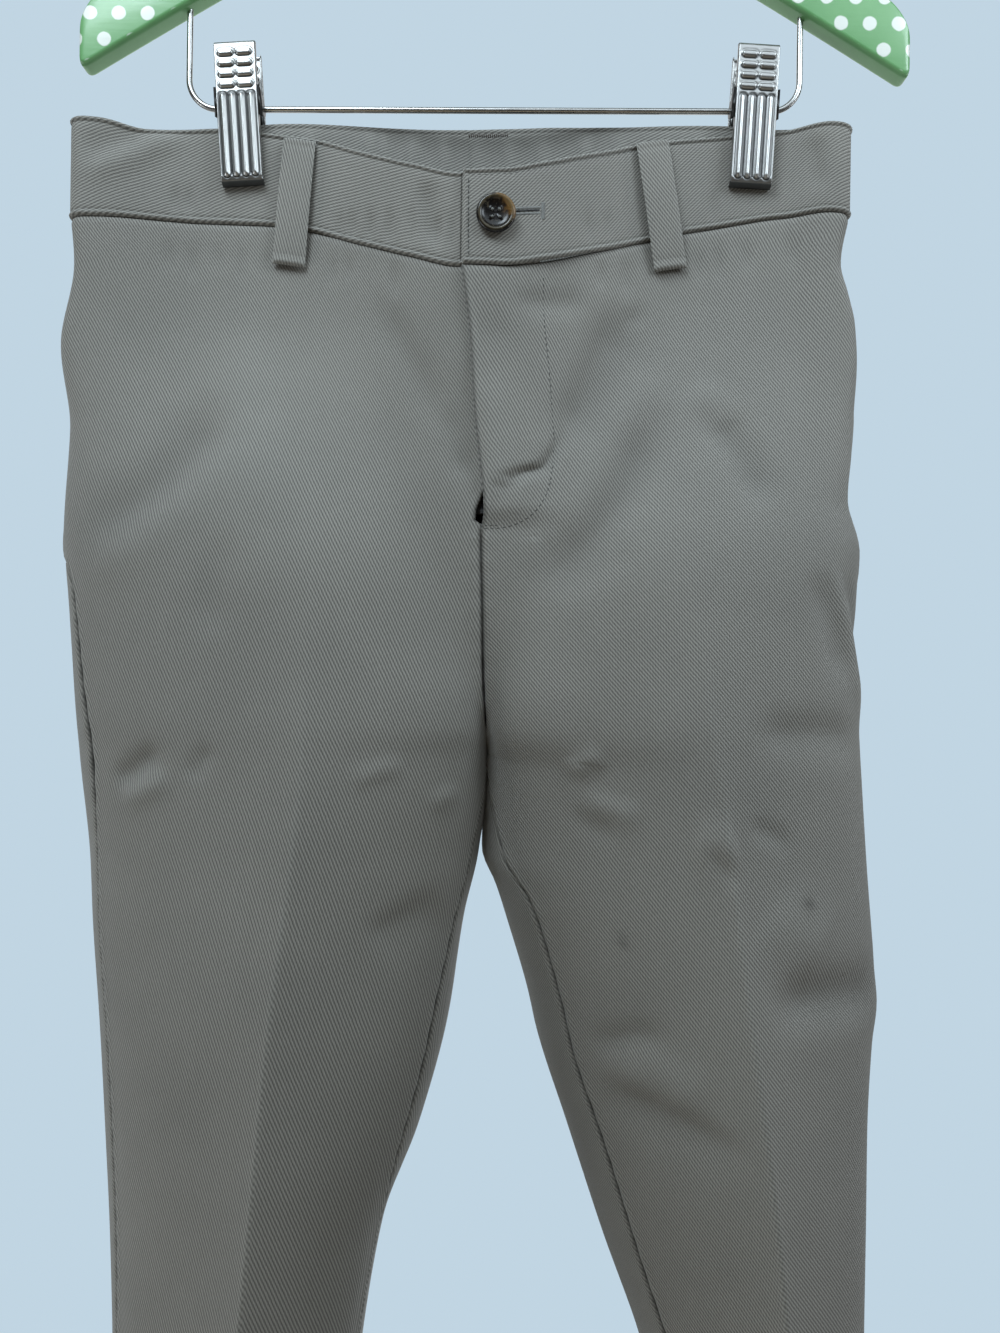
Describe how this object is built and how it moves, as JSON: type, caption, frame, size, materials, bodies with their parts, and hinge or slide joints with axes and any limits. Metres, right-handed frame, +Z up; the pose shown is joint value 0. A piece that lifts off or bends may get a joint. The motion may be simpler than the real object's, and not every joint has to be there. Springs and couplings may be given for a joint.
{
  "type": "dress trousers on clip hanger",
  "caption": "Child's flat-front twill dress trousers with a belt-loop waistband, hung by the waist from the clips of a painted wooden hanger.",
  "frame": {"origin": "where the inside of the hook bears on what holds it, in the middle of the hanger", "axes": "+X to the right seen from the front, which is the wearer's left, +Y to the back, +Z up"},
  "size_m": [0.3436, 0.1092, 1.1065],
  "materials": {
    "twill": "grey-khaki cotton twill, matt",
    "tape": "black woven zip tape",
    "button": "dark brown marbled, glossy",
    "painted_wood": "light green gloss paint with white dots",
    "steel": "bright plated steel"
  },
  "bodies": {
    "root": {"front_right": "twill", "front_left": "twill", "back_right": "twill", "back_left": "twill", "waistband_front_right": "twill", "waistband_front_left": "twill", "waistband_back": "twill", "pocket_facing_right": "twill", "pocket_facing_left": "twill", "belt_loop_front_right": "twill", "belt_loop_front_left": "twill", "belt_loop_back_right": "twill", "belt_loop_back_centre": "twill", "belt_loop_back_left": "twill", "fly_zip": "tape", "waist_button": "button", "hanger_wood": "painted_wood", "hanger_hook": "steel", "hanger_bar": "steel", "clip_right_front_jaw": "steel", "clip_right_back_jaw": "steel", "clip_right_spring": "steel", "clip_left_front_jaw": "steel", "clip_left_back_jaw": "steel", "clip_left_spring": "steel"}
  },
  "joints": []
}
